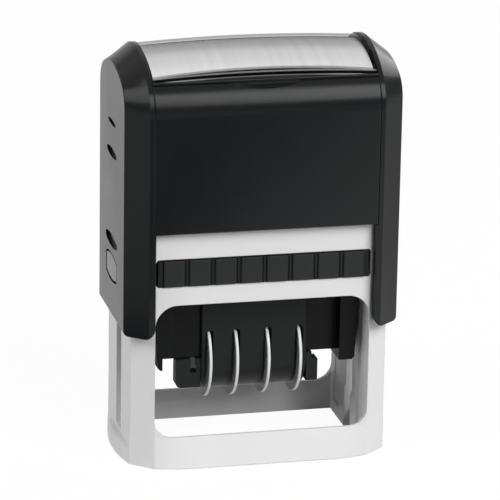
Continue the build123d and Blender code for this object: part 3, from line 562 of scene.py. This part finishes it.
def coiled_wire(name, radius, wire, low, high, turns, closed):
    """A coil of round wire whose first and last turns lie close together."""
    steps = round(turns * SPRING_STEPS)
    open_turns = turns - 2 * closed
    pitch = (high - low - 2 * closed * wire) / open_turns
    rates = []
    for i in range(steps):
        turn = (i + 0.5) / SPRING_STEPS
        inside = min(turn, turns - turn) - closed + SPRING_EASE
        ease = min(1.0, max(0.0, inside / (2 * SPRING_EASE)))
        rates.append(wire + (pitch - wire) * ease * ease * (3 - 2 * ease))
    scale = (high - low) / sum(rates)
    heights = [low]
    for rate in rates:
        heights.append(heights[-1] + rate * scale)
    centres = []
    for i, height in enumerate(heights):
        angle = 2 * math.pi * i / SPRING_STEPS
        centres.append(Vector((radius * math.cos(angle), radius * math.sin(angle), height)))
    bm = bmesh.new()
    rings = []
    for i, centre in enumerate(centres):
        along_wire = (centres[min(i + 1, steps)] - centres[max(i - 1, 0)]).normalized()
        outward = Vector((centre.x, centre.y, 0)).normalized()
        upward = along_wire.cross(outward)
        ring = []
        for k in range(SPRING_SIDES):
            angle = 2 * math.pi * k / SPRING_SIDES
            offset = math.cos(angle) * outward + math.sin(angle) * upward
            ring.append(bm.verts.new(centre + offset * wire / 2))
        rings.append(ring)
    for first, second in zip(rings, rings[1:]):
        for k in range(SPRING_SIDES):
            j = (k + 1) % SPRING_SIDES
            bm.faces.new((first[k], first[j], second[j], second[k]))
    bm.faces.new(rings[0][::-1])
    bm.faces.new(rings[-1])
    bmesh.ops.recalc_face_normals(bm, faces=bm.faces)
    mesh = bpy.data.meshes.new(name)
    bm.to_mesh(mesh)
    bm.free()
    for polygon in mesh.polygons:
        polygon.use_smooth = len(polygon.vertices) == 4
    return mesh


def add_return_spring(material):
    """The spring between frame and handle: a coil of wire that rides the base."""
    low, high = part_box("return_spring")
    radius = high.x - SPRING_WIRE / 2
    mesh = coiled_wire("coil", radius, SPRING_WIRE, low.z + SPRING_WIRE / 2, high.z - SPRING_WIRE / 2,
                       SPRING_TURNS, SPRING_CLOSED_TURNS)
    coil = link_mesh("coil", mesh, material, "base", "return_spring")
    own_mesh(coil)


def add_ink_pad(material):
    """Felt block with soft edges and a fuzzy inked face."""
    low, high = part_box("ink_pad")
    play = Vector((PAD_PLAY, PAD_PLAY, 0))
    mesh = padded_slab("felt_pad", low + play, high - play, PAD_ROUNDING, PAD_STEP, PAD_CROWN, PAD_FUZZ)
    pad = link_mesh("felt_pad", mesh, material, "pad_cassette", "ink_pad")


def add_cushion(material):
    """Foam sheet with its window for the date: edges that bulge a little where it is pressed."""
    low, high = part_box("plate_cushion")
    points = frame["nodes"]["plate_cushion"].data.vertices
    xs = sorted({round(v.co.x, 6) for v in points})
    ys = sorted({round(v.co.y, 6) for v in points})
    hole_x = (xs[1], xs[-2])
    hole_y = (ys[1], ys[-2])
    bm = bmesh.new()
    rings = []
    thickness = high.z - low.z
    for level in range(FOAM_LAYERS + 1):
        t = level / FOAM_LAYERS
        z = low.z + t * thickness
        tuck = FOAM_TUCK * (2 * t - 1) ** 2
        ring = []
        for (x0, x1, y0, y1), sign in (((low.x, high.x, low.y, high.y), 1),
                                       ((*hole_x, *hole_y), -1)):
            corners = [(x0 + sign * tuck, y0 + sign * tuck), (x1 - sign * tuck, y0 + sign * tuck),
                       (x1 - sign * tuck, y1 - sign * tuck), (x0 + sign * tuck, y1 - sign * tuck)]
            ring.append([bm.verts.new((x, y, z)) for x, y in corners])
        rings.append(ring)
    for lower, upper in zip(rings, rings[1:]):
        for loop_low, loop_high, flip in ((lower[0], upper[0], False), (lower[1], upper[1], True)):
            for i in range(4):
                j = (i + 1) % 4
                quad = [loop_low[i], loop_low[j], loop_high[j], loop_high[i]]
                bm.faces.new(quad[::-1] if flip else quad)
    for ring, flip in ((rings[0], True), (rings[-1], False)):
        outer, inner = ring
        for i in range(4):
            j = (i + 1) % 4
            quad = [outer[i], outer[j], inner[j], inner[i]]
            bm.faces.new(quad[::-1] if flip else quad)
    bmesh.ops.recalc_face_normals(bm, faces=bm.faces)
    mesh = bpy.data.meshes.new("foam_sheet")
    bm.to_mesh(mesh)
    bm.free()
    sheet = link_mesh("foam_sheet", mesh, material, "die_carrier", "plate_cushion")


add_camera()
add_stage()

MATERIALS = {
    "base_plastic": moulded("base_plastic", (0.825, 0.818, 0.821), 0.46, ior=1.28, tone=0.012,
                            edge=0.35 * MM),
    "handle_plastic": moulded("handle_plastic", (0.0022, 0.0028, 0.0034), 0.24, ior=1.25, grain=0.004,
                              tone=0.10),
    "button_plastic": moulded("button_plastic", (0.009, 0.0094, 0.0102), 0.20, ior=1.38, grain=0.002,
                              tone=0.06),
    "carrier_plastic": moulded("carrier_plastic", (0.0125, 0.0140, 0.0145), 0.42, ior=1.18, grain=0.010,
                               tone=0.12),
    "holder_plastic": moulded("holder_plastic", (0.0030, 0.0033, 0.0035), 0.34, ior=1.16, grain=0.006,
                              tone=0.10),
    # Painted shade: the tray's colour is darkened in the gaps between its grip cells.
    "tray_plastic": moulded("tray_plastic", (0.0150, 0.0172, 0.0170), 0.45, ior=1.24, grain=0.012,
                            tone=0.08, mask=gap_shade_mask, tint=(0.25, 0.25, 0.25)),
    # Painted shade: the wheels' colour is darkened on their flanks.
    "wheel_plastic": moulded("wheel_plastic", (0.86, 0.87, 0.86), 0.30, grain=0.003, tone=0.03,
                             edge=0.15 * MM, mask=flank_shade_mask, tint=(0.38, 0.38, 0.39)),
    "spring_steel": steel("spring_steel", (0.60, 0.60, 0.61), 0.24, (1, 1, 0.05)),
    "pin_steel": steel("pin_steel", (0.55, 0.55, 0.56), 0.28, (0.05, 1, 1)),
    "card_silver": silver_card("card_silver"),
    "window_clear": clear_plastic("window_clear"),
    "stamp_rubber": rubber("stamp_rubber"),
    "pad_felt": felt("pad_felt"),
    "cushion_foam": foam("cushion_foam"),
}
for part in frame["record"]["subparts"]:
    obj = frame["nodes"][part["node"]]
    obj.data.materials.clear()
    obj.data.materials.append(MATERIALS[part["material_slot"]])

add_return_spring(MATERIALS["spring_steel"])
add_ink_pad(MATERIALS["pad_felt"])
add_cushion(MATERIALS["cushion_foam"])

bpy.context.scene.view_settings.view_transform = "Standard"
